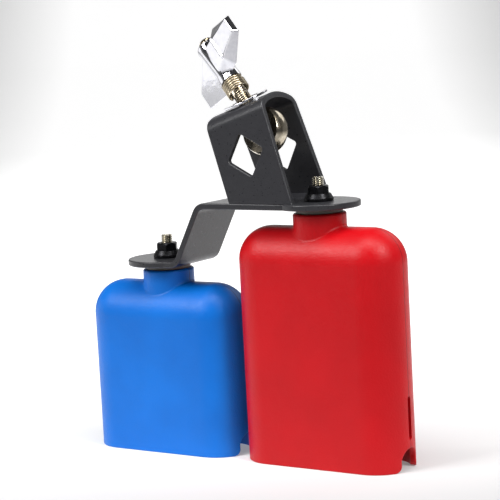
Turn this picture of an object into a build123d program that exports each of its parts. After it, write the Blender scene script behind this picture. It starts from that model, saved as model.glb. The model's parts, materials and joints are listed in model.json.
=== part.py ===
from build123d import *
from math import cos, radians, sin
import os

# Two moulded percussion blocks hung from a bent steel strap, with a leaning rod clamp. Millimetres.
# +Z is up. X runs along the strap, from the small blue block to the large red one, and Y runs through
# the blocks' thickness. The origin is the centre of the bracket's windows, where a clamped rod lies.

# Blocks
block_width = 91.0
block_depth = 35.0
red_height = 118.0
blue_height = 87.5
wall = 3.0
rim_radius = block_depth / 2 - 0.5
neck_radius = 13.2
neck_height = 7.0
neck_sunk = 14.0
neck_rim_radius = 1.2
neck_root_radius = 1.4
lip_radius = 0.6
neck_roof = 4.5
neck_bore_radius = 9.6

# Side mouths of each block: a closed slot above an arched notch
slot_width = 2.6
slot_low = 15.0
slot_high = 36.5
notch_width = 12.9
notch_height = 11.0
notch_shoulder = 5.5
lip_corner = 3.4

# Strap
strap_width = 36.0
strap_thickness = 3.0
pad_radius = 20.5
stud_spacing = 94.0
upper_bend_x = -60.5
lower_bend_x = -76.4
bend_radius = 6.0

# Bridge, in its own leaning frame: x across, y through, z up from the foot's centre
lean = 18.5
bridge_width = 35.5
bridge_foot_x = -22.8
foot_half_depth = 18.0
shoulder_half_depth = 15.6
shoulder_height = 46.3
crown_height = 51.0
shoulder_radius = 6.5
bridge_wall = 3.0
bridge_overrun = 22.0
edge_radius = 0.6
window_edge_radius = 0.5
window_side = 15.8
window_corner = 1.5
window_height = 25.2
crown_hole_radius = 5.9
pivot_height = 49.4
weld_leg = 2.6
weld_length = 24.0

# Rod clamp, along its own bolt axis from the pivot in the crown's hole
swing = 29.0
swing_direction = 61.3
eye_drop = 17.6
eye_radius = 12.0
eye_face_radius = 10.9
eye_bore_radius = 7.0
eye_width = 8.4
bolt_radius = 3.98
bolt_end = 46.5
bolt_chamfer = 0.9
washer_outer_radius = 11.8
washer_hole_radius = 7.0
washer_thickness = 1.2
washer_rise = 2.75
washer_tip = 12.0
spring_start = 9.3
spring_turns = 4.5
spring_radius = 5.5
wire_radius = 0.65
spring_pitch = 1.42
nut_start = spring_start + spring_turns * spring_pitch + 2 * wire_radius + 0.2
nut_bore_radius = 4.05
boss_foot_radius = 6.1
boss_waist_radius = 5.6
boss_top_radius = 6.6
boss_height = 26.0
boss_foot_height = 1.5
boss_crown_height = 3.0
boss_crown_inset = 1.2
boss_waist_height = 6.0
wing_turn = -28.7

# A wing's cross-sections: how far out, then each broad face's offset, lower and upper height
wing_root = (2.0, (0.5, 2.0, 24.5), (5.3, 6.6, 22.2))
wing_shoulder = (11.5, (-0.5, 0.8, 27.4), (4.2, 7.3, 20.5))
wing_tip = (28.1, (-2.0, 8.1, 19.3), (2.0, 8.7, 17.2))

# Hangers
stud_radius = 2.98
stud_hole_radius = 3.05
neck_hole_radius = 3.3
stud_end = 11.9
stud_chamfer = 0.6
head_across_flats = 10.0
head_height = 4.0
spacer_radius = 11.6
spacer_thickness = 2.3
face_gap = 0.1
top_washer_radius = 7.3
top_washer_thickness = 1.6
inner_washer_radius = 8.8
inner_washer_thickness = 1.6
nut_across_flats = 10.0
nut_hex_height = 4.0
nut_flange_radius = 7.1
nut_flange_height = 2.0
nut_flange_taper = 20.0
nut_thread_radius = 3.0

# How far a cutting shape runs past what it cuts, and how near an edge counts as being in a place
overcut = 1.0
touching = 0.5

# Frames: the bridge leans about Y, the bolt swings in the crown's hole
across = Vector(cos(radians(lean)), 0, sin(radians(lean)))
upward = Vector(-sin(radians(lean)), 0, cos(radians(lean)))
swing_axis = Axis((0, 0, 0), across.rotate(Axis((0, 0, 0), upward), swing_direction))
bolt_up = upward.rotate(swing_axis, -swing)
bolt_across = across.rotate(swing_axis, -swing)
foot = upward * -window_height
pivot = foot + upward * pivot_height
bridge_frame = Plane(origin=foot, x_dir=across, z_dir=upward)
bolt_frame = Plane(origin=pivot, x_dir=bolt_across, z_dir=bolt_up)

# Places along the strap
strap_top = foot.Z
strap_under = strap_top - strap_thickness
red_x = foot.X - bridge_foot_x
blue_x = red_x - stud_spacing
step = red_height - blue_height
red_base = strap_under - 2 * face_gap - spacer_thickness - neck_height - red_height
blue_base = red_base

os.makedirs("parts", exist_ok=True)


def keep(part, name):
    """Label one finished piece and write its file."""
    part.label = name
    export_step(part, f"parts/{name}.step")


def crosses_wall(edge, direction):
    """True for a short edge that only runs through a wall's thickness."""
    span = abs(direction.direction.dot(edge @ 1 - edge @ 0))
    return edge.length < 1.3 * wall and span > 0.8 * wall


def block_form(x, base, height, inset):
    """The block's pillow shape, grown inwards by inset, with its foot on base."""
    with BuildPart() as form:
        with BuildSketch(Plane((x, 0, base))):
            SlotOverall(block_width - 2 * inset, block_depth - 2 * inset)
        extrude(amount=height - inset)
        fillet(form.faces().sort_by(Axis.Z)[-1].edges(), radius=rim_radius - inset)
    return form.part


def side_mouth(x, base):
    """The slots and arched notches that part the two lips at both narrow sides."""
    middle = (slot_low + slot_high) / 2
    with BuildPart() as mouth:
        with BuildSketch(Plane((x, 0, base), x_dir=(0, 1, 0), z_dir=(1, 0, 0))):
            with Locations((0, middle)):
                SlotOverall(slot_high - slot_low, slot_width, rotation=90)
            with BuildLine():
                right = (notch_width / 2, -overcut)
                spring_line = (notch_width / 2, notch_shoulder)
                rise = Line(right, spring_line)
                arch = ThreePointArc(spring_line, (0, notch_height), (-notch_width / 2, notch_shoulder))
                fall = Line(arch @ 1, (-notch_width / 2, -overcut))
                Line(fall @ 1, right)
            make_face()
        extrude(amount=block_width, both=True)
        split(bisect_by=Plane((x, 0, base), z_dir=(1, 0, 0)).offset(block_width / 4), keep=Keep.TOP)
        mirror(about=Plane((x, 0, base), z_dir=(1, 0, 0)))
    return mouth.part


def lip_trim(x, base):
    """Rounds the lower corners that each lip has beside its notch."""
    corner = notch_width / 2
    with BuildPart() as trim:
        with BuildSketch(Plane((x, 0, base), x_dir=(0, 1, 0), z_dir=(1, 0, 0))):
            for side in (-1, 1):
                with BuildLine():
                    inner = Line((side * corner, -overcut), (side * corner, lip_corner))
                    turn = RadiusArc(inner @ 1, (side * (corner + lip_corner), 0), side * -lip_corner)
                    outer = Line(turn @ 1, (side * (corner + lip_corner), -overcut))
                    Line(outer @ 1, inner @ 0)
                make_face()
        extrude(amount=block_width, both=True)
        split(bisect_by=Plane((x, 0, base), z_dir=(1, 0, 0)).offset(block_width / 4), keep=Keep.TOP)
        mirror(about=Plane((x, 0, base), z_dir=(1, 0, 0)))
    return trim.part


def block_shells(x, base, height, colour):
    """One hollow block with a round neck, parted at mid-thickness into its two half shells."""
    with BuildPart() as block:
        add(block_form(x, base, height, 0))
        with BuildSketch(Plane((x, 0, base + height - neck_sunk))):
            Circle(neck_radius)
        extrude(amount=neck_sunk + neck_height)
        rim = block.faces().sort_by(Axis.Z)[-1].edges()
        fillet(rim, radius=neck_rim_radius)
        neck_side = block.faces().filter_by(GeomType.CYLINDER).sort_by(lambda face: face.center().Z)[-1]
        root = neck_side.edges().filter_by(lambda edge: (edge @ 0.5).Z < base + height + touching)
        fillet(root.filter_by(Axis.Z, reverse=True), radius=neck_root_radius)
        add(block_form(x, base, height, wall), mode=Mode.SUBTRACT)
        with BuildSketch(Plane((x, 0, base + height - neck_sunk))):
            Circle(neck_bore_radius)
        extrude(amount=neck_sunk + neck_height - neck_roof, mode=Mode.SUBTRACT)
        with BuildSketch(Plane((x, 0, base + height))):
            Circle(neck_hole_radius)
        extrude(amount=2 * neck_height, mode=Mode.SUBTRACT)
        add(side_mouth(x, base), mode=Mode.SUBTRACT)
        add(lip_trim(x, base), mode=Mode.SUBTRACT)
        mouth_top = base + notch_height + touching
        low = block.edges().filter_by(lambda edge: max((edge @ 0).Z, (edge @ 0.5).Z, (edge @ 1).Z) < mouth_top)
        fillet(low.filter_by(lambda edge: not crosses_wall(edge, Axis.X)), radius=lip_radius)
    for name, side in (("front", Keep.BOTTOM), ("rear", Keep.TOP)):
        with BuildPart() as shell:
            add(block.part)
            split(bisect_by=Plane((x, 0, base), z_dir=(0, 1, 0)), keep=side)
        keep(shell.part, f"{colour}_{name}_shell")


def disc(plane, outer, hole, height):
    """A flat ring standing on a plane."""
    with BuildPart() as ring:
        with BuildSketch(plane):
            Circle(outer)
            Circle(hole, mode=Mode.SUBTRACT)
        extrude(amount=height)
    return ring.part


def hanger(x, under, colour):
    """The bolt, washers, spacer and nut that hold one block's neck to the strap."""
    top = under + strap_thickness
    neck_top = under - 2 * face_gap - spacer_thickness
    roof_under = neck_top - neck_roof
    keep(disc(Plane((x, 0, neck_top)), spacer_radius, neck_hole_radius, spacer_thickness + face_gap),
         f"{colour}_neck_spacer")
    washer_under = roof_under - inner_washer_thickness
    keep(disc(Plane((x, 0, washer_under)), inner_washer_radius, neck_hole_radius, inner_washer_thickness),
         f"{colour}_inner_washer")
    keep(disc(Plane((x, 0, top + face_gap)), top_washer_radius, neck_hole_radius, top_washer_thickness),
         f"{colour}_top_washer")
    with BuildPart() as bolt:
        with BuildSketch(Plane((x, 0, washer_under - head_height))):
            RegularPolygon(head_across_flats / 2, 6, major_radius=False)
        extrude(amount=head_height)
        with BuildSketch(Plane((x, 0, washer_under))):
            Circle(stud_radius)
        extrude(amount=top + stud_end - washer_under)
        chamfer(bolt.faces().sort_by(Axis.Z)[-1].edges(), length=stud_chamfer)
    keep(bolt.part, f"{colour}_hanger_bolt")
    seat = top + face_gap + top_washer_thickness
    with BuildPart() as nut:
        with BuildSketch(Plane((x, 0, seat))):
            Circle(nut_flange_radius)
        extrude(amount=nut_flange_height, taper=nut_flange_taper)
        with BuildSketch(Plane((x, 0, seat))):
            RegularPolygon(nut_across_flats / 2, 6, major_radius=False)
        extrude(amount=nut_flange_height + nut_hex_height)
        with BuildSketch(Plane((x, 0, seat))):
            Circle(nut_thread_radius)
        extrude(amount=nut_flange_height + nut_hex_height, mode=Mode.SUBTRACT)
    keep(nut.part, f"{colour}_flange_nut")


def strap():
    """The strap: a Z-bent strip, cut to its outline, with a stud hole in each pad."""
    half = strap_thickness / 2
    reach = pad_radius + overcut
    low = strap_top - step - half
    high = strap_top - half
    with BuildPart() as bent:
        with BuildSketch(Plane((red_x, 0, 0), x_dir=(1, 0, 0), z_dir=(0, -1, 0))):
            with BuildLine():
                FilletPolyline(
                    (-stud_spacing - reach, low),
                    (lower_bend_x, low),
                    (upper_bend_x, high),
                    (reach, high),
                    radius=bend_radius,
                )
            trace(line_width=strap_thickness)
        extrude(amount=reach, both=True)
        with BuildSketch(Plane((red_x, 0, low - step))):
            with Locations((-stud_spacing / 2, 0)):
                Rectangle(stud_spacing, strap_width)
            with Locations((0, 0), (-stud_spacing, 0)):
                Circle(pad_radius)
            with Locations((0, 0), (-stud_spacing, 0)):
                Circle(stud_hole_radius, mode=Mode.SUBTRACT)
        extrude(amount=3 * step, mode=Mode.INTERSECT)
        outline = bent.edges().filter_by(Axis.Y, reverse=True).filter_by(Axis.Z, reverse=True)
        fillet(outline.filter_by(lambda edge: not edge.is_closed), radius=edge_radius)
    return bent.part


def bridge():
    """The inverted-U bracket: an arched channel with a window in each wall and a hole in its crown."""
    through = Plane(bridge_frame.origin, x_dir=(0, 1, 0), z_dir=across)
    slope = (foot_half_depth - shoulder_half_depth) / shoulder_height
    low_half = foot_half_depth + slope * bridge_overrun
    with BuildPart() as channel:
        with BuildSketch(through):
            with BuildLine():
                left = Line((-low_half, -bridge_overrun), (-shoulder_half_depth, shoulder_height))
                crown = ThreePointArc(left @ 1, (0, crown_height), (shoulder_half_depth, shoulder_height))
                right = Line(crown @ 1, (low_half, -bridge_overrun))
                Line(right @ 1, left @ 0)
            make_face()
            fillet(vertices().group_by(Axis.Z)[-1], radius=shoulder_radius)
            offset(amount=-bridge_wall, mode=Mode.SUBTRACT)
        extrude(amount=bridge_width / 2, both=True)
        with BuildSketch(Plane(bridge_frame.origin + upward * window_height, x_dir=across, z_dir=(0, -1, 0))):
            Rectangle(window_side, window_side, rotation=45)
            fillet(vertices(), radius=window_corner)
        extrude(amount=2 * foot_half_depth, both=True, mode=Mode.SUBTRACT)
        with BuildSketch(bridge_frame.offset(crown_height - 3 * bridge_wall)):
            Circle(crown_hole_radius)
        extrude(amount=4 * bridge_wall, mode=Mode.SUBTRACT)
        split(bisect_by=Plane((0, 0, strap_top)), keep=Keep.TOP)
        ends = channel.faces().filter_by(Axis((0, 0, 0), across)).edges()
        fillet(ends.filter_by(lambda edge: (edge @ 0.5).Z > strap_top + touching), radius=edge_radius)
        window = channel.edges().filter_by(lambda edge: Vector((edge @ 0.5).X, 0, (edge @ 0.5).Z).length < window_side)
        fillet(window.filter_by(lambda edge: not crosses_wall(edge, Axis.Y)), radius=window_edge_radius)
    return channel.part


def welds(walls):
    """The two weld beads in the corners inside the bracket's feet."""
    inner = foot_half_depth - bridge_wall
    with BuildPart() as beads:
        for side in (-1, 1):
            corner = side * (inner + weld_leg / 3)
            toe = side * (inner - weld_leg)
            with BuildSketch(Plane((foot.X, 0, strap_top), x_dir=(0, 1, 0), z_dir=(1, 0, 0))):
                with BuildLine():
                    Polyline((corner, 0), (toe, 0), (corner, weld_leg), (corner, 0))
                make_face()
            extrude(amount=weld_length / 2, both=True)
        add(walls, mode=Mode.SUBTRACT)
    return beads.part


def washer():
    """The washer that lies on the arch, tipped forwards, with room for the bolt to swing."""
    drift = bolt_up * (1 / cos(radians(swing))) - upward
    centre = pivot + (upward + drift * 0.5) * washer_rise
    face = Plane(centre, x_dir=across, z_dir=upward.rotate(Axis((0, 0, 0), across), washer_tip))
    return disc(face, washer_outer_radius, washer_hole_radius, washer_thickness)


def spring():
    """The coil spring round the bolt."""
    start = pivot + bolt_up * (spring_start + wire_radius)
    with BuildPart() as coil:
        with BuildLine():
            path = Helix(
                spring_pitch, spring_pitch * spring_turns, spring_radius, center=start, direction=bolt_up
            )
        with BuildSketch(Plane(path @ 0, z_dir=path % 0)):
            Circle(wire_radius)
        sweep(path=path)
    return coil.part


def eye_bolt():
    """The bolt and its barrel-shaped eye, whose bore lies square to the bolt."""
    half = eye_width / 2
    eye = bolt_frame.offset(-eye_drop)
    with BuildPart() as bolt:
        with BuildSketch(eye):
            with BuildLine():
                face = Line((eye_bore_radius, -half), (eye_face_radius, -half))
                barrel = ThreePointArc(face @ 1, (eye_radius, 0), (eye_face_radius, half))
                back = Line(barrel @ 1, (eye_bore_radius, half))
                Line(back @ 1, face @ 0)
            make_face()
        revolve(axis=Axis(eye.origin, eye.y_dir))
        with BuildSketch(eye.offset((eye_bore_radius + eye_radius) / 2)):
            Circle(bolt_radius)
        extrude(amount=eye_drop + bolt_end - (eye_bore_radius + eye_radius) / 2)
        tip = bolt.faces().sort_by(Axis(pivot, bolt_up))[-1]
        chamfer(tip.edges(), length=bolt_chamfer)
    return bolt.part


def wing_nut():
    """The wing nut: a waisted boss with two wings, each set tangent to one side of it."""
    base = bolt_frame.offset(nut_start)
    wing_across = base.x_dir.rotate(Axis((0, 0, 0), base.z_dir), wing_turn)
    with BuildPart() as nut:
        with BuildSketch(Plane(base.origin, x_dir=wing_across, z_dir=wing_across.cross(base.z_dir))):
            with BuildLine():
                Polyline(
                    (nut_bore_radius, 0),
                    (boss_foot_radius, 0),
                    (boss_foot_radius, boss_foot_height),
                    (boss_waist_radius, boss_waist_height),
                    (boss_top_radius, boss_height - boss_crown_height),
                    (boss_top_radius - boss_crown_inset, boss_height),
                    (nut_bore_radius, boss_height),
                    (nut_bore_radius, 0),
                )
            make_face()
        revolve(axis=Axis(base.origin, base.z_dir))
        for side in (-1, 1):
            outward = wing_across * side
            for reach, far_face, near_face in (wing_root, wing_shoulder, wing_tip):
                section = Plane(base.origin + outward * reach, x_dir=base.z_dir.cross(outward), z_dir=outward)
                with BuildSketch(section):
                    with BuildLine():
                        Polyline(
                            (-far_face[0], far_face[1]),
                            (-far_face[0], far_face[2]),
                            (-near_face[0], near_face[2]),
                            (-near_face[0], near_face[1]),
                            (-far_face[0], far_face[1]),
                        )
                    make_face()
            loft(ruled=True)
        with BuildSketch(base):
            Circle(nut_bore_radius)
        extrude(amount=2 * boss_height, mode=Mode.SUBTRACT)
    return nut.part


keep(strap(), "mounting_strap")
channel = bridge()
keep(channel, "clamp_bridge")
keep(welds(channel), "bridge_welds")
keep(washer(), "clamp_washer")
keep(spring(), "clamp_spring")
keep(eye_bolt(), "eye_bolt")
keep(wing_nut(), "wing_nut")
block_shells(red_x, red_base, red_height, "red")
block_shells(blue_x, blue_base, blue_height, "blue")
hanger(red_x, strap_under, "red")
hanger(blue_x, strap_under - step, "blue")
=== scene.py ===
import json
from math import cos, pi, radians, sin

import bmesh
import bpy
from mathutils import Matrix, Vector


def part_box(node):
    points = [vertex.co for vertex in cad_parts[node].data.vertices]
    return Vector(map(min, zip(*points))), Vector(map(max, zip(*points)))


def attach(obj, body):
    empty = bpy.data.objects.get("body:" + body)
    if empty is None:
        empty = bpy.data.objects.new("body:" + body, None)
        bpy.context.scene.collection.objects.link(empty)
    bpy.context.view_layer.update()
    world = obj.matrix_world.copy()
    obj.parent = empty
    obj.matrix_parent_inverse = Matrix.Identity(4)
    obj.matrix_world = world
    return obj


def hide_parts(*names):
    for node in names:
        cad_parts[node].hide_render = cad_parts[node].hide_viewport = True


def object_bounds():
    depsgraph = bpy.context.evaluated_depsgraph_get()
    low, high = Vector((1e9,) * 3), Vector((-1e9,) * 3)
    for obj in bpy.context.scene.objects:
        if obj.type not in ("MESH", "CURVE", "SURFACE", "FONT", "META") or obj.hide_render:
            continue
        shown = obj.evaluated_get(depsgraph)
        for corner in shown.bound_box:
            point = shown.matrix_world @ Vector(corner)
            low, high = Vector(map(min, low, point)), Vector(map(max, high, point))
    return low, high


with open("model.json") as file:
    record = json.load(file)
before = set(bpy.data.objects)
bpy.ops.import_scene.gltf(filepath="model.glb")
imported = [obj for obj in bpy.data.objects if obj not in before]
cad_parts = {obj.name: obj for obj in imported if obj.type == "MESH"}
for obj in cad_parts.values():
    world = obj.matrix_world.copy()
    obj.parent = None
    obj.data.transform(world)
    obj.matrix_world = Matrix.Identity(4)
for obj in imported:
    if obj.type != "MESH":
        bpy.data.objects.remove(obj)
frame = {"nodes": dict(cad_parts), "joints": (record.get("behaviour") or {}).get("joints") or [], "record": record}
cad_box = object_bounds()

MM = 0.001
NODES = frame["nodes"]
JOINTS = {joint["name"]: joint for joint in frame["joints"]}
MOUNTS = {mount["name"]: mount for mount in frame["record"]["mounts"]}


# ---------------------------------------------------------------------------
# Places, read from the frame
# ---------------------------------------------------------------------------

def span(node):
    """The lowest corner, highest corner and middle of a CAD node."""
    low, high = (Vector(corner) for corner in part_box(node))
    return low, high, (low + high) / 2


PIVOT = Vector(JOINTS["wing_spin"]["pos_m"])
BOLT_UP = Vector(JOINTS["wing_spin"]["axis"]).normalized()
EYE_AXIS = Vector(MOUNTS["rod_eye"]["axis"]).normalized()
EYE_CENTRE = Vector(MOUNTS["rod_eye"]["pos_m"])
EYE_BORE = MOUNTS["rod_eye"]["dims"]["r_mm"] * MM
EYE_WIDTH = MOUNTS["rod_eye"]["dims"]["length_mm"] * MM


def seat(origin, up, across):
    """The matrix that sets an upright piece on origin, its Z along up and its X near across."""
    z = up.normalized()
    y = z.cross(across).normalized()
    x = y.cross(z)
    turn = Matrix((x, y, z)).transposed().to_4x4()
    return Matrix.Translation(origin) @ turn


# The clamp bolt's own frame: Z up the bolt, Y back along the eye's bore
BOLT_FRAME = seat(PIVOT, BOLT_UP, BOLT_UP.cross(EYE_AXIS))


# ---------------------------------------------------------------------------
# Colours and nodes
# ---------------------------------------------------------------------------

def paint(hex_code):
    """An sRGB hex colour as the linear colour that shaders take."""
    parts = [int(hex_code[i:i + 2], 16) / 255 for i in (1, 3, 5)]
    return tuple(p / 12.92 if p <= 0.04045 else ((p + 0.055) / 1.055) ** 2.4 for p in parts) + (1.0,)


def add_node(tree, kind, settings=None, inputs=None, links=None):
    """Adds one node with its settings, its unlinked values and its incoming links."""
    node = tree.nodes.new(kind)
    for key, value in (settings or {}).items():
        setattr(node, key, value)
    for key, value in (inputs or {}).items():
        node.inputs[key].default_value = value
    for key, socket in (links or {}).items():
        tree.links.new(socket, node.inputs[key])
    return node


def new_finish(name):
    """A material with only its output, and the Object coordinates that its patterns follow."""
    finish = bpy.data.materials.new(name)
    finish.use_nodes = True
    tree = finish.node_tree
    tree.nodes.clear()
    output = add_node(tree, "ShaderNodeOutputMaterial")
    coords = add_node(tree, "ShaderNodeTexCoord")
    return finish, tree, output, coords.outputs["Object"]


def pattern(tree, place, size_mm, detail=2.0, roughness=0.5):
    """A soft noise whose patches are about size_mm across, in metres of Object space."""
    inputs = {"Scale": 1 / (size_mm * MM), "Detail": detail, "Roughness": roughness}
    return add_node(tree, "ShaderNodeTexNoise", inputs=inputs, links={"Vector": place}).outputs["Fac"]


def ramp(tree, source, low, high, out_low, out_high):
    """Maps a value from low..high to out_low..out_high, and holds it at the ends."""
    inputs = {"From Min": low, "From Max": high, "To Min": out_low, "To Max": out_high}
    return add_node(tree, "ShaderNodeMapRange", inputs=inputs, links={"Value": source}).outputs["Result"]


def spread(tree, noise, out_low, out_high, low=0.3, high=0.7):
    """Stretches the part of a noise between low and high, most of it, over out_low..out_high."""
    return ramp(tree, noise, low, high, out_low, out_high)


def either_side(tree, source):
    """How far a value lies from zero, on either side of it."""
    return add_node(tree, "ShaderNodeMath", {"operation": "ABSOLUTE"}, links={0: source}).outputs["Value"]


def blend_colours(tree, source, first, second):
    """A colour between two hex codes, by a value from 0 to 1."""
    node = add_node(tree, "ShaderNodeMix", {"data_type": "RGBA"}, links={0: source})
    node.inputs[6].default_value = paint(first)
    node.inputs[7].default_value = paint(second)
    return node.outputs[2]


def along(tree, place, direction):
    """How far a point lies along a direction."""
    return add_node(tree, "ShaderNodeVectorMath", {"operation": "DOT_PRODUCT"}, {1: direction},
                    {0: place}).outputs["Value"]


def relief(tree, height, depth_mm, strength=1.0, under=None):
    """A bump whose height runs over depth_mm, on top of another bump if one is given."""
    links = {"Height": height}
    if under:
        links["Normal"] = under
    inputs = {"Distance": depth_mm * MM, "Strength": strength}
    return add_node(tree, "ShaderNodeBump", inputs=inputs, links=links).outputs["Normal"]


def shade(tree, output, settings, links):
    """The surface's one Principled shader."""
    shader = add_node(tree, "ShaderNodeBsdfPrincipled", inputs=settings, links=links)
    tree.links.new(shader.outputs["BSDF"], output.inputs["Surface"])


# ---------------------------------------------------------------------------
# Materials
# ---------------------------------------------------------------------------

def moulded_plastic(name, body, shadow, groove):
    """Injection-moulded HDPE from a spark-eroded tool: satin, with a skin of pebbles about a millimetre
    across, a slow drift in colour where the melt cooled unevenly, and a fine dark line where the
    two halves meet."""
    finish, tree, output, place = new_finish(name)
    drift = pattern(tree, place, size_mm=26.0)
    pebble = pattern(tree, place, size_mm=0.95, roughness=0.6)
    speck = pattern(tree, place, size_mm=2.6, detail=3.0, roughness=0.6)
    groove_half, groove_edge = 0.12 * MM, 0.32 * MM
    off_joint = either_side(tree, along(tree, place, (0, 1, 0)))
    clear_of_joint = ramp(tree, off_joint, groove_half, groove_edge, 0.0, 1.0)
    plain = blend_colours(tree, spread(tree, drift, 0.0, 1.0), body, shadow)
    tinted = add_node(tree, "ShaderNodeMix", {"data_type": "RGBA"}, {6: paint(groove)},
                      {0: clear_of_joint, 7: plain})
    gloss = spread(tree, speck, out_low=0.36, out_high=0.46)
    skin = relief(tree, pebble, depth_mm=0.14, strength=0.85,
                  under=relief(tree, speck, depth_mm=0.08, strength=0.6))
    shade(tree, output,
          {"IOR": 1.5, "Specular IOR Level": 0.3},
          {"Base Color": tinted.outputs[2], "Roughness": gloss, "Normal": skin})
    return finish


def powder_coat(name):
    """Black polyester powder coat on bent steel: baked on, so it has a fine orange peel, a satin sheen
    and the odd paler grain of dust in it."""
    finish, tree, output, place = new_finish(name)
    peel = pattern(tree, place, size_mm=1.3)
    grain = pattern(tree, place, size_mm=0.5, detail=1.0)
    dusty = spread(tree, grain, 0.0, 1.0, low=0.45, high=0.75)
    colour = blend_colours(tree, dusty, "#2E2E31", "#343438")
    gloss = spread(tree, peel, out_low=0.27, out_high=0.36)
    skin = relief(tree, peel, depth_mm=0.05, strength=0.4)
    shade(tree, output, {"IOR": 1.5}, {"Base Color": colour, "Roughness": gloss, "Normal": skin})
    return finish


def plated_metal(name, light, dark, smooth_haze, dull_haze, wave_mm, wave_depth_mm):
    """Plated steel or zinc: a bright metal skin that keeps the faint waves of the casting or wire under
    it, with a thin haze where it was handled."""
    finish, tree, output, place = new_finish(name)
    wave = pattern(tree, place, size_mm=wave_mm)
    haze = pattern(tree, place, size_mm=3.1, detail=4.0, roughness=0.6)
    colour = blend_colours(tree, spread(tree, haze, 0.0, 1.0, low=0.35), light, dark)
    gloss = spread(tree, haze, smooth_haze, dull_haze, low=0.35)
    skin = relief(tree, wave, wave_depth_mm, strength=0.5)
    shade(tree, output, {"Metallic": 1.0}, {"Base Color": colour, "Roughness": gloss, "Normal": skin})
    return finish


def black_oxide(name):
    """Hot black oxide with a film of oil on cut steel: nearly black, with soft grey glints and the
    fine scratches that forming left."""
    finish, tree, output, place = new_finish(name)
    haze = pattern(tree, place, size_mm=1.8, detail=4.0, roughness=0.65)
    scratch = pattern(tree, place, size_mm=0.4)
    rubbed = spread(tree, haze, 0.0, 1.0, low=0.35, high=0.75)
    colour = blend_colours(tree, rubbed, "#111113", "#26262A")
    gloss = spread(tree, scratch, out_low=0.24, out_high=0.42)
    skin = relief(tree, scratch, depth_mm=0.012, strength=0.4)
    shade(tree, output, {"Metallic": 0.7}, {"Base Color": colour, "Roughness": gloss, "Normal": skin})
    return finish


def turned_nylon(name):
    """Natural nylon, turned from rod: waxy, with faint clouds in it, its pale colour painted down to a dull grey
    as painted shade under the strap.
    """
    finish, tree, output, place = new_finish(name)
    cloud = pattern(tree, place, size_mm=2.2)
    # Both greys are painted shade: the pale nylon is darkened to look as it does in the strap's shadow
    colour = blend_colours(tree, cloud, "#6E6A62", "#5C5850")
    gloss = spread(tree, cloud, out_low=0.38, out_high=0.52)
    skin = relief(tree, cloud, depth_mm=0.03, strength=0.4)
    shade(tree, output,
          {"IOR": 1.53, "Subsurface Weight": 0.15, "Subsurface Scale": 2 * MM},
          {"Base Color": colour, "Roughness": gloss, "Normal": skin})
    return finish


RED = moulded_plastic("red_moulded_hdpe", "#C80512", "#BE040F", "#7A0309")
BLUE = moulded_plastic("blue_moulded_hdpe", "#0072D6", "#0069C9", "#003F86")
BLACK = powder_coat("black_powder_coat")
CHROME = plated_metal("bright_chrome_plate", "#EDEDF1", "#DCDCE3",
                      smooth_haze=0.05, dull_haze=0.12, wave_mm=4.0, wave_depth_mm=0.05)
NICKEL = plated_metal("warm_nickel_plate", "#D6CCBA", "#B0A48E",
                      smooth_haze=0.16, dull_haze=0.28, wave_mm=2.5, wave_depth_mm=0.012)
WIRE = plated_metal("nickelled_spring_wire", "#C6BAA3", "#A3977F",
                    smooth_haze=0.26, dull_haze=0.36, wave_mm=3.0, wave_depth_mm=0.005)
ZINC = plated_metal("bright_zinc_plate", "#D6D2C6", "#B4AD9C",
                    smooth_haze=0.16, dull_haze=0.28, wave_mm=1.5, wave_depth_mm=0.03)
OXIDE = black_oxide("black_oxide_steel")
NYLON_IN_PAINTED_SHADE = turned_nylon("natural_nylon")


def repaint(node, finish):
    """Gives a CAD node that stays in view its own finish."""
    slots = NODES[node].data.materials
    slots.clear()
    slots.append(finish)


# ---------------------------------------------------------------------------
# Hand tools: start a piece, open it, pick its parts, close it
# ---------------------------------------------------------------------------

def alone(piece):
    """Makes piece the only selected and the active object."""
    bpy.ops.object.select_all(action="DESELECT")
    piece.select_set(True)
    bpy.context.view_layer.objects.active = piece


def start(name, primitive, **settings):
    """Adds a primitive at its size and place, with nothing else selected."""
    bpy.ops.object.select_all(action="DESELECT")
    primitive(**settings)
    piece = bpy.context.object
    piece.name = name
    piece.data.name = name
    bpy.ops.object.transform_apply(location=True, rotation=True, scale=True)
    return piece


def open_up(piece, kind="VERT"):
    """Edit mode on one piece, with nothing selected in it."""
    alone(piece)
    bpy.ops.object.mode_set(mode="EDIT")
    bpy.ops.mesh.select_mode(type=kind)
    bpy.ops.mesh.select_all(action="DESELECT")


def pick(piece, kind, test):
    """Selects the verts, edges or faces that pass the test, and nothing else."""
    bpy.ops.mesh.select_all(action="DESELECT")
    mesh = bmesh.from_edit_mesh(piece.data)
    for part in getattr(mesh, kind):
        if test(part):
            part.select_set(True)
    bmesh.update_edit_mesh(piece.data)


def close(piece):
    """Back to object mode from edit mode."""
    bpy.ops.object.mode_set(mode="OBJECT")
    return piece


def middle(edge):
    """The middle of an edge's two ends."""
    return (edge.verts[0].co + edge.verts[1].co) / 2


def radius_of(point):
    """The distance from the piece's own upright axis."""
    return Vector((point.x, point.y)).length


def on_top_rim(edge, height, radius):
    """Whether an edge runs round the upper rim of an upright cylinder that stands at 0."""
    near_top, near_side = 0.99, 0.9
    point = middle(edge)
    return point.z > height * near_top and radius_of(point) > radius * near_side


def level_with(vert, height):
    """Whether a vert lies at a height, to a tenth of a millimetre."""
    return abs(vert.co.z - height) < 0.1 * MM


def close_ends():
    """Caps the open ends of the mesh in edit mode, and turns all its faces outwards."""
    bpy.ops.mesh.select_all(action="DESELECT")
    bpy.ops.mesh.select_non_manifold()
    bpy.ops.mesh.fill_holes(sides=0)
    bpy.ops.mesh.select_all(action="SELECT")
    bpy.ops.mesh.normals_make_consistent(inside=False)


def apply_tool(piece, kind, **settings):
    """Adds one modifier and applies it."""
    alone(piece)
    modifier = piece.modifiers.new(kind.lower(), kind)
    for key, value in settings.items():
        setattr(modifier, key, value)
    bpy.ops.object.modifier_apply(modifier=modifier.name)
    return piece


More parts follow.
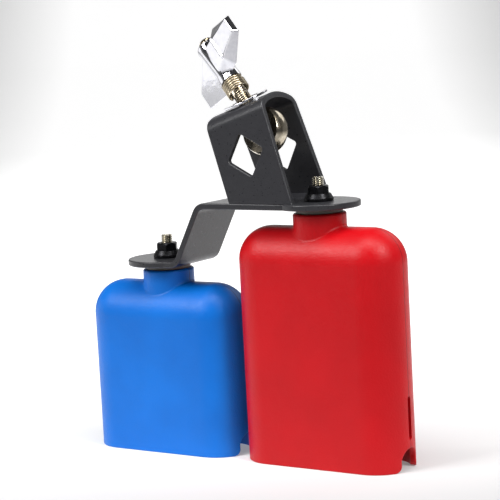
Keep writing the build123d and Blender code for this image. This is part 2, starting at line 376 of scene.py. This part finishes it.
def cut_or_join(piece, other, how):
    """Takes other away from piece, joins it on, or keeps only what both hold, and removes other."""
    apply_tool(piece, "BOOLEAN", operation=how, object=other, solver="EXACT")
    bpy.data.objects.remove(other)
    return piece


def soften(piece, width_mm, angle=30, segments=3):
    """Rounds every edge sharper than the angle, and lets flat faces keep flat shading."""
    apply_tool(piece, "BEVEL", width=width_mm * MM, segments=segments, limit_method="ANGLE",
               angle_limit=radians(angle), harden_normals=False, miter_outer="MITER_ARC")
    return smooth(piece)


def smooth(piece, angle=35):
    """Smooth shading across every edge flatter than the angle, even over faces of unequal size."""
    alone(piece)
    bpy.ops.object.shade_smooth_by_angle(angle=radians(angle))
    return apply_tool(piece, "WEIGHTED_NORMAL", keep_sharp=True, weight=100)


def set_down(piece, place):
    """Moves a piece that was made upright at the origin to its place, and leaves that in its mesh."""
    alone(piece)
    piece.matrix_world = place
    bpy.ops.object.transform_apply(location=True, rotation=True, scale=True)
    return piece


def finish_piece(piece, finish, body, node):
    """Paints a finished piece, hangs it on the body it rides on, and hides the CAD node it stands for."""
    piece.data.materials.clear()
    piece.data.materials.append(finish)
    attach(piece, body)
    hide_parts(node)


# ---------------------------------------------------------------------------
# Threads, washers and nuts
# ---------------------------------------------------------------------------

# A V thread in pitches: its depth, the rise of each flank and the flat crest between them
THREAD_DEPTH, THREAD_FLANK, THREAD_CREST = 0.58, 0.44, 0.12
# Points nearer to each other than this, in metres, become one
MERGE = 0.00001


def threaded_rod(name, outer, pitch, length, tip):
    """A rod with a cut V thread from 0 to length, and a chamfered upper end."""
    depth = THREAD_DEPTH * pitch
    flank = THREAD_FLANK * pitch
    thread = start(name, bpy.ops.mesh.primitive_plane_add, size=pitch, location=(outer, 0, -pitch))
    open_up(thread)
    mesh = bmesh.from_edit_mesh(thread.data)
    keep = list(mesh.verts)[0]
    for vert in list(mesh.verts):
        if vert is not keep:
            mesh.verts.remove(vert)
    # The one vert left is the foot of the first flank, low enough for the thread to start below 0
    keep.co = Vector((outer - depth, 0, -1.5 * pitch))
    keep.select_set(True)
    bmesh.update_edit_mesh(thread.data)
    for step in ((depth, 0, flank), (0, 0, THREAD_CREST * pitch), (-depth, 0, flank)):
        bpy.ops.mesh.extrude_region_move(TRANSFORM_OT_translate={"value": step})
    close(thread)
    steps_per_turn, spare_turns = 32, 4
    turns = int(length / pitch) + spare_turns
    apply_tool(thread, "SCREW", axis="Z", angle=2 * pi, screw_offset=pitch, iterations=turns,
               steps=steps_per_turn, render_steps=steps_per_turn, use_merge_vertices=True,
               merge_threshold=MERGE, use_smooth_shade=False)
    open_up(thread)
    bpy.ops.mesh.select_all(action="SELECT")
    bpy.ops.mesh.remove_doubles(threshold=MERGE)
    close_ends()
    close(thread)
    blank = start(name + "_blank", bpy.ops.mesh.primitive_cylinder_add, vertices=48, radius=outer,
                  depth=length, location=(0, 0, length / 2))
    open_up(blank, "EDGE")
    pick(blank, "edges", lambda edge: on_top_rim(edge, length, outer))
    bpy.ops.mesh.bevel(offset=tip, segments=1, affect="EDGES")
    close(blank)
    return cut_or_join(thread, blank, "INTERSECT")


# A face looks along an axis when its unit normal reaches at least this far along it
FACING = 0.9


def ring(name, outer, hole, low, height, round_mm, sides=64):
    """A turned ring about the upright axis, its rims rounded."""
    piece = start(name, bpy.ops.mesh.primitive_cylinder_add, vertices=sides, radius=outer, depth=height,
                  location=(0, 0, low + height / 2))
    open_up(piece, "FACE")
    pick(piece, "faces", lambda face: abs(face.normal.z) > FACING)
    bpy.ops.mesh.inset(thickness=outer - hole, use_outset=False)
    bpy.ops.mesh.bridge_edge_loops()
    close(piece)
    return soften(piece, round_mm)


def hex_corner(across_flats):
    """The radius of a hexagon's corners, from its width across flats."""
    return across_flats / 2 / cos(pi / 6)


def flange_nut(name, across_flats, hex_high, flange_radius, flange_high, hole):
    """A hex flange nut, standing on its flange: coned corners above, a coned skirt below."""
    corner = hex_corner(across_flats)
    total = flange_high + hex_high
    nut = start(name, bpy.ops.mesh.primitive_cylinder_add, vertices=6, radius=corner, depth=total,
                location=(0, 0, total / 2), rotation=(0, 0, pi / 6))
    # The crown is a hair larger than the hexagon, and only its chamfer trims the corners
    oversize = 1.001
    chamfer = (corner - across_flats / 2) * 1.3
    crown = start(name + "_crown", bpy.ops.mesh.primitive_cylinder_add, vertices=64,
                  radius=corner * oversize, depth=total * oversize, location=(0, 0, total / 2))
    open_up(crown, "EDGE")
    pick(crown, "edges", lambda edge: on_top_rim(edge, total, corner))
    bpy.ops.mesh.bevel(offset=chamfer, segments=1, affect="EDGES")
    close(crown)
    cut_or_join(nut, crown, "INTERSECT")
    slope = 1.1 * MM
    skirt = start(name + "_skirt", bpy.ops.mesh.primitive_cone_add, vertices=64, radius1=flange_radius,
                  radius2=flange_radius - slope, depth=flange_high, location=(0, 0, flange_high / 2))
    cut_or_join(nut, skirt, "UNION")
    core = start(name + "_core", bpy.ops.mesh.primitive_cylinder_add, vertices=48, radius=hole,
                 depth=total * 3)
    cut_or_join(nut, core, "DIFFERENCE")
    return soften(nut, 0.25, angle=25, segments=2)


def hanger_bolt(name, shank, pitch, head_flats, head_high, total):
    """A hex-headed bolt, its head down at 0 and its thread running up to its end."""
    tip = 0.6 * MM
    overlap = 0.02 * MM
    bolt = threaded_rod(name, shank, pitch, total - head_high, tip)
    set_down(bolt, Matrix.Translation((0, 0, head_high)))
    head = start(name + "_head", bpy.ops.mesh.primitive_cylinder_add, vertices=6,
                 radius=hex_corner(head_flats), depth=head_high + overlap,
                 location=(0, 0, head_high / 2), rotation=(0, 0, pi / 6))
    cut_or_join(head, bolt, "UNION")
    head.name = name
    head.data.name = name
    return soften(head, 0.12, angle=40, segments=2)


# ---------------------------------------------------------------------------
# What holds each block under the strap: M6 hardware
# ---------------------------------------------------------------------------

# The shank's radius, and the thread's pitch
M6_SHANK, M6_PITCH = 2.98 * MM, 1.0 * MM
# The radii of a nut's bore and of the hole in a ring that slips over the shank
M6_BORE, M6_CLEARANCE = 3.0 * MM, 3.3 * MM
# The hexagon's width across flats and its height
M6_FLATS, M6_HEX_HIGH = 10 * MM, 4 * MM
# The nut flange's radius and its height
M6_FLANGE, M6_FLANGE_HIGH = 7.1 * MM, 2 * MM


def hang_block(colour):
    """The bolt, washers, spacer and nut that hold one block under the strap."""
    body = f"{colour}_block"
    centre = span(f"{colour}_hanger_bolt")[2]

    def turned_ring(part, round_mm, finish):
        """A ring as large as the CAD node it stands for, on the bolt's axis."""
        low, high, _ = span(f"{colour}_{part}")
        piece = ring(f"{colour}_{part}_turned", (high.x - low.x) / 2, M6_CLEARANCE, low.z,
                     high.z - low.z, round_mm)
        set_down(piece, Matrix.Translation((centre.x, centre.y, 0)))
        finish_piece(piece, finish, body, f"{colour}_{part}")

    turned_ring("neck_spacer", 0.35, NYLON_IN_PAINTED_SHADE)
    turned_ring("top_washer", 0.3, OXIDE)
    turned_ring("inner_washer", 0.25, ZINC)
    low, high, _ = span(f"{colour}_hanger_bolt")
    bolt = hanger_bolt(f"{colour}_threaded_bolt", M6_SHANK, M6_PITCH, M6_FLATS, M6_HEX_HIGH,
                       high.z - low.z)
    set_down(bolt, Matrix.Translation((centre.x, centre.y, low.z)))
    finish_piece(bolt, ZINC, body, f"{colour}_hanger_bolt")
    low = span(f"{colour}_flange_nut")[0]
    nut = flange_nut(f"{colour}_hex_nut", M6_FLATS, M6_HEX_HIGH, M6_FLANGE, M6_FLANGE_HIGH, M6_BORE)
    set_down(nut, Matrix.Translation((centre.x, centre.y, low.z)))
    finish_piece(nut, OXIDE, body, f"{colour}_flange_nut")


hang_block("red")
hang_block("blue")


# ---------------------------------------------------------------------------
# Rod clamp
# ---------------------------------------------------------------------------

def serrated_eye():
    """The eye of the clamp bolt: a barrel about its own upright axis, with a serrated bore."""
    radius = 12.0 * MM
    flattening = 0.845
    half = EYE_WIDTH / 2
    eye = start("serrated_eye_bolt", bpy.ops.mesh.primitive_uv_sphere_add, segments=64, ring_count=48,
                radius=radius, scale=(1, 1, flattening))
    for side in (-1, 1):
        open_up(eye)
        bpy.ops.mesh.select_all(action="SELECT")
        bpy.ops.mesh.bisect(plane_co=(0, 0, side * half), plane_no=(0, 0, side), use_fill=True,
                            clear_outer=True)
        close(eye)
    # Four points to a ridge: two stay on the bore, two are pushed out to the bottom of a groove
    ridges = 24
    quarter = pi / ridges / 2
    groove_reach = 1.09
    bore = start("bore", bpy.ops.mesh.primitive_cylinder_add, vertices=4 * ridges, radius=EYE_BORE,
                 depth=EYE_WIDTH * 2)
    open_up(bore)

    def in_groove(vert):
        turn = Vector((1, 0)).angle_signed(Vector((vert.co.x, vert.co.y)))
        return round(turn / quarter) % 4 in (1, 2)

    pick(bore, "verts", in_groove)
    bpy.ops.transform.resize(value=(groove_reach, groove_reach, 1))
    close(bore)
    return cut_or_join(eye, bore, "DIFFERENCE")


def eye_bolt():
    """The eye and its M8 threaded shank, in one piece."""
    shank_low, shank_end = -8.4 * MM, 46.5 * MM
    m8_shank, m8_pitch, tip = 3.98 * MM, 1.25 * MM, 0.9 * MM
    shank = threaded_rod("clamp_bolt_shank", m8_shank, m8_pitch, shank_end - shank_low, tip)
    set_down(shank, BOLT_FRAME @ Matrix.Translation((0, 0, shank_low)))
    eye = serrated_eye()
    set_down(eye, seat(EYE_CENTRE, EYE_AXIS, BOLT_UP))
    cut_or_join(eye, shank, "UNION")
    soften(eye, 0.16, angle=38, segments=2)
    finish_piece(eye, NICKEL, "eye_bolt", "eye_bolt")


def clamp_spring():
    """The coil spring round the shank, its round wire capped at both ends."""
    wire = 0.72 * MM
    coil_radius = 5.42 * MM
    pitch = 1.42 * MM
    turns = 4.5
    steps_per_turn = 40
    steps = int(steps_per_turn * turns)
    low = 9.3 * MM
    coil = start("coil_spring", bpy.ops.mesh.primitive_circle_add, vertices=16, radius=wire,
                 rotation=(pi / 2, 0, 0), location=(coil_radius, 0, 0))
    apply_tool(coil, "SCREW", axis="Z", angle=2 * pi * turns, screw_offset=pitch * turns, iterations=1,
               steps=steps, render_steps=steps, use_merge_vertices=False, use_smooth_shade=True)
    open_up(coil)
    close_ends()
    close(coil)
    set_down(coil, BOLT_FRAME @ Matrix.Translation((0, 0, low + wire)))
    smooth(coil, 60)
    finish_piece(coil, WIRE, "clamp_carrier", "clamp_spring")


def clamp_washer():
    """The mirror-bright washer on the arch, tipped as its CAD node is."""
    outer, hole, thick = 11.8 * MM, 7.0 * MM, 1.2 * MM
    nearly_up = 0.85
    flats = [face for face in NODES["clamp_washer"].data.polygons if face.normal.z > nearly_up]
    face_up = sum((face.area * face.normal for face in flats), Vector()).normalized()
    centre = span("clamp_washer")[2]
    piece = ring("mirror_washer", outer, hole, -thick / 2, thick, 0.3, sides=96)
    set_down(piece, seat(centre, face_up, EYE_AXIS))
    finish_piece(piece, CHROME, "frame", "clamp_washer")


BOSS_HIGH = 26.0 * MM


def waisted_boss():
    """The wing nut's boss, standing at 0: a straight foot, a narrower waist that widens slowly again,
    and a straight top with a rounded rim."""
    foot, waist, top = 6.1 * MM, 5.6 * MM, 6.6 * MM
    foot_high, waist_at, top_at = 1.6 * MM, 6.0 * MM, 22.0 * MM
    boss = start("cast_wing_nut", bpy.ops.mesh.primitive_cylinder_add, vertices=64, radius=waist,
                 depth=BOSS_HIGH, location=(0, 0, BOSS_HIGH / 2))
    for height in (foot_high, waist_at, top_at):
        open_up(boss)
        bpy.ops.mesh.select_all(action="SELECT")
        bpy.ops.mesh.bisect(plane_co=(0, 0, height), plane_no=(0, 0, 1))
        close(boss)
    open_up(boss)
    for height, reach in ((0.0, foot), (foot_high, foot), (top_at, top), (BOSS_HIGH, top)):
        pick(boss, "verts", lambda vert: level_with(vert, height))
        bpy.ops.transform.resize(value=(reach / waist, reach / waist, 1))
    pick(boss, "edges", lambda edge: all(level_with(vert, BOSS_HIGH) for vert in edge.verts))
    bpy.ops.mesh.bevel(offset=1.4 * MM, segments=4, affect="EDGES")
    return close(boss)


# A wing runs out along X. At each station, in millimetres: how far out, then how far across towards
# -Y, how low and how high, first for its +Y face and then for its -Y face
WING_STATIONS = (
    (2.0, (0.5, 2.0, 24.5), (5.3, 6.6, 22.2)),
    (11.5, (-0.5, 0.8, 27.4), (4.2, 7.3, 20.5)),
    (28.1, (-2.0, 8.1, 19.3), (2.0, 8.7, 17.2)),
)


def cast_wing():
    """One wing, rounded all over, with an upright rib on its -Y face."""
    wing = start("wing", bpy.ops.mesh.primitive_cube_add, size=1 * MM)
    open_up(wing, "FACE")
    pick(wing, "faces", lambda face: face.normal.x > FACING)
    bpy.ops.mesh.extrude_region_move(TRANSFORM_OT_translate={"value": (1 * MM, 0, 0)})
    mesh = bmesh.from_edit_mesh(wing.data)
    for vert in mesh.verts:
        # The three rows of verts stand at -0.5, 0.5 and 1.5 mm, one for each station
        out, left_face, right_face = WING_STATIONS[round(vert.co.x / MM + 0.5)]
        across, low, high = right_face if vert.co.y < 0 else left_face
        vert.co = Vector((out, -across, high if vert.co.z > 0 else low)) * MM
    bmesh.update_edit_mesh(wing.data)
    bpy.ops.mesh.select_all(action="SELECT")
    bpy.ops.mesh.normals_make_consistent(inside=False)
    close(wing)
    soften(wing, 0.7, angle=12, segments=3)
    rib = start("rib", bpy.ops.mesh.primitive_cube_add, size=1,
                scale=(1.7 * MM, 2.6 * MM, 13.5 * MM), location=(11.6 * MM, -3.7 * MM, 13.9 * MM))
    soften(rib, 0.6, angle=30, segments=3)
    return cut_or_join(wing, rib, "UNION")


def wing_nut():
    """The cast wing nut: a waisted boss with two wings, each set tangent to one side of it."""
    low = 17.2 * MM
    bore = 4.05 * MM
    rest_turn = radians(-28.7)
    boss = waisted_boss()
    cut_or_join(boss, cast_wing(), "UNION")
    cut_or_join(boss, set_down(cast_wing(), Matrix.Rotation(pi, 4, "Z")), "UNION")
    core = start("core", bpy.ops.mesh.primitive_cylinder_add, vertices=48, radius=bore,
                 depth=BOSS_HIGH * 3)
    cut_or_join(boss, core, "DIFFERENCE")
    smooth(boss, 28)
    set_down(boss, BOLT_FRAME @ Matrix.Translation((0, 0, low)) @ Matrix.Rotation(rest_turn, 4, "Z"))
    finish_piece(boss, CHROME, "wing_nut", "wing_nut")


eye_bolt()
clamp_spring()
clamp_washer()
wing_nut()


# ---------------------------------------------------------------------------
# The pieces whose CAD shape is already right
# ---------------------------------------------------------------------------

for node_name in ("mounting_strap", "clamp_bridge", "bridge_welds"):
    repaint(node_name, BLACK)
for half in ("front_shell", "rear_shell"):
    repaint(f"red_{half}", RED)
    repaint(f"blue_{half}", BLUE)


# ---------------------------------------------------------------------------
# Studio: floor, lights and camera
# ---------------------------------------------------------------------------

FLOOR_Z = cad_box[0][2]
STUD = span("red_hanger_bolt")[2]
# How far round to the right of the blocks' front the camera stands
CAMERA_TURN = radians(34.32)


def painted_glow_acrylic():
    """Opal acrylic sheet whose backlight is painted in as a glow of its own: the emission is brightest to the rear
    and in the middle and dim at the sides, and the colour is a darker grey in front as painted shade. The bands
    are in metres from the middle."""
    finish, tree, output, place = new_finish("graduated_backlit_acrylic")
    rearward = along(tree, place, (-sin(CAMERA_TURN), cos(CAMERA_TURN), 0))
    aside = either_side(tree, along(tree, place, (cos(CAMERA_TURN), sin(CAMERA_TURN), 0)))
    # Painted glow: emission that stands in for a light behind the sheet, brightest to the rear and in the middle
    rear_glow = ramp(tree, rearward, -0.05, 0.45, 0.2, 1.0)
    middle_glow = ramp(tree, aside, 0.35, 0.75, 0.8, 0.04)
    glow = add_node(tree, "ShaderNodeMath", {"operation": "MULTIPLY"},
                    links={0: rear_glow, 1: middle_glow}).outputs["Value"]
    # Painted shade: the sheet's colour turns a darker grey towards the front
    front_to_rear = ramp(tree, rearward, -0.2, 0.0, 0.0, 1.0)
    shade(tree, output,
          {"Roughness": 0.9, "Specular IOR Level": 0.1, "Emission Color": paint("#FFFFFF")},
          {"Base Color": blend_colours(tree, front_to_rear, "#8C8C8E", "#DCDCDC"),
           "Emission Strength": glow})
    return finish


def studio_floor():
    """A wide pale sweep, flat under the object and turned up far away all round."""
    reach = 4.0
    rings, ring_step = 6, 0.3
    rim_rise, rise_ratio = 0.9, 0.55
    floor = start("studio_floor", bpy.ops.mesh.primitive_circle_add, vertices=96, radius=reach,
                  fill_type="NGON", location=(0, 0, FLOOR_Z))
    open_up(floor, "FACE")
    bpy.ops.mesh.select_all(action="SELECT")
    for _ in range(rings):
        bpy.ops.mesh.inset(thickness=ring_step, use_outset=False)
    bpy.ops.mesh.select_mode(type="VERT")
    for i in range(rings):
        inner = reach - (i + 0.5) * ring_step
        pick(floor, "verts", lambda vert: radius_of(vert.co) > inner)
        bpy.ops.transform.translate(value=(0, 0, rim_rise * rise_ratio ** i))
    close(floor)
    floor.data.materials.clear()
    floor.data.materials.append(painted_glow_acrylic())
    smooth(floor, 40)


def softbox(name, place, width, height, watts, aim=Vector((-0.015, 0, -0.05))):
    """A rectangular softbox of white light that looks at aim. Its place and size are in metres."""
    lamp = bpy.data.lights.new(name, "AREA")
    lamp.shape = "RECTANGLE"
    lamp.size, lamp.size_y = width, height
    lamp.energy = watts
    holder = bpy.data.objects.new(name, lamp)
    bpy.context.scene.collection.objects.link(holder)
    holder.location = place
    holder.rotation_euler = (aim - Vector(place)).to_track_quat("-Z", "Y").to_euler()


def studio_light():
    """Soft light from the upper left, from above and from behind, a tall strip on the right, a low
    card on the left, and a dim room."""
    softbox("key_softbox", (-0.7, -1.05, 0.95), 0.7, 0.7, watts=18)
    softbox("top_softbox", (0.1, -0.35, 1.1), 0.8, 0.4, watts=8)
    softbox("side_strip", (0.95, -0.2, 0.85), 0.3, 0.9, watts=13)
    softbox("left_card", (-1.5, -0.22, -0.1), 0.9, 0.8, watts=2.3, aim=Vector((-0.02, 0, 0.04)))
    softbox("back_softbox", (0.2, 1.3, 0.8), 1.0, 0.7, watts=3)
    world = bpy.data.worlds.new("dim_room")
    world.use_nodes = True
    tree = world.node_tree
    tree.nodes.clear()
    output = add_node(tree, "ShaderNodeOutputWorld")
    sky = add_node(tree, "ShaderNodeBackground", inputs={"Color": paint("#FFFFFF"), "Strength": 0.05})
    tree.links.new(sky.outputs["Background"], output.inputs["Surface"])
    bpy.context.scene.world = world


def camera():
    """The camera: round to the right of the blocks' front, a little above them, slightly rolled."""
    turn, rise, roll = CAMERA_TURN, radians(7.42), radians(3.11)
    distance = 920.48 * MM
    aim = Vector((STUD.x - 36.62 * MM, -8.25 * MM, FLOOR_Z + 106.32 * MM))
    back = Vector((sin(turn) * cos(rise), -cos(turn) * cos(rise), sin(rise)))
    level = Vector((cos(turn), sin(turn), 0))
    over = back.cross(level)
    right = level * cos(roll) - over * sin(roll)
    up = over * cos(roll) + level * sin(roll)
    lens = bpy.data.cameras.new("camera")
    lens.sensor_width = 36.0
    lens.lens = 133.27
    lens.clip_start = 0.05
    lens.clip_end = 20.0
    holder = bpy.data.objects.new("camera", lens)
    bpy.context.scene.collection.objects.link(holder)
    turned = Matrix((right, up, back)).transposed().to_4x4()
    holder.matrix_world = Matrix.Translation(aim + back * distance) @ turned
    bpy.context.scene.camera = holder


studio_floor()
studio_light()
camera()
bpy.context.scene.view_settings.view_transform = "Standard"
